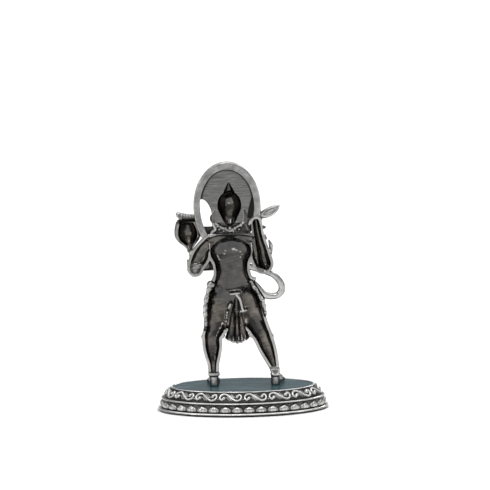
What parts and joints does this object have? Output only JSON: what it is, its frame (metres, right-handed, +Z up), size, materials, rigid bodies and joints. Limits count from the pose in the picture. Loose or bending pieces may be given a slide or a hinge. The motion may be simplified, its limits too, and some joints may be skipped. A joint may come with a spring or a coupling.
{
  "type": "figurine",
  "caption": "Small hollow-backed cast figure of a mace-bearing guardian with a halo and looped tail, standing on an oval lotus plinth.",
  "frame": {"origin": "middle of the oval underside, on the surface the plinth rests on", "axes": "+Z up along the figure, -Y the way the figure faces, +X towards the figure's left hand; the open back faces +Y"},
  "size_m": [0.0606, 0.04, 0.0889],
  "materials": {
    "base_felt": "dark felt pad",
    "plate_metal": "dull grey cast metal, brushed on the halo's plate and polished on the plinth's top",
    "screw_steel": "plain steel",
    "bright_silver": "antique silver plate, polished on the high points and dark in the recesses",
    "oxidised_silver": "antique silver plate, black and glossy inside the hollow back, polished on the rim"
  },
  "bodies": {
    "root": {"base_pad": "base_felt", "plinth": "plate_metal", "halo_plate": "plate_metal", "left_foot_screw": "screw_steel", "right_foot_screw": "screw_steel", "foot_lip": "bright_silver", "lotus_petal_row": "bright_silver", "ridge_moulding": "bright_silver", "scroll_frieze": "bright_silver", "left_foot": "bright_silver", "right_foot": "bright_silver", "left_anklet": "bright_silver", "right_anklet": "bright_silver", "left_sash": "bright_silver", "right_sash": "bright_silver", "belt": "bright_silver", "necklace": "bright_silver", "left_armlet": "bright_silver", "right_armlet": "bright_silver", "right_bracelet": "bright_silver", "right_hand": "bright_silver", "mace_shaft": "bright_silver", "left_hand": "bright_silver", "mace_collar": "bright_silver", "crown_band": "bright_silver", "left_hair_lock": "bright_silver", "right_hair_lock": "bright_silver", "left_earring": "bright_silver", "right_earring": "bright_silver", "halo_rim": "bright_silver", "tail": "bright_silver", "tail_tip": "bright_silver", "left_leg": "oxidised_silver", "right_leg": "oxidised_silver", "hips": "oxidised_silver", "apron": "oxidised_silver", "torso": "oxidised_silver", "left_upper_arm": "oxidised_silver", "right_upper_arm": "oxidised_silver", "left_forearm": "oxidised_silver", "elbow_scarf": "oxidised_silver", "right_forearm": "oxidised_silver", "mace_head": "oxidised_silver", "head": "oxidised_silver", "crown": "oxidised_silver"}
  },
  "joints": []
}
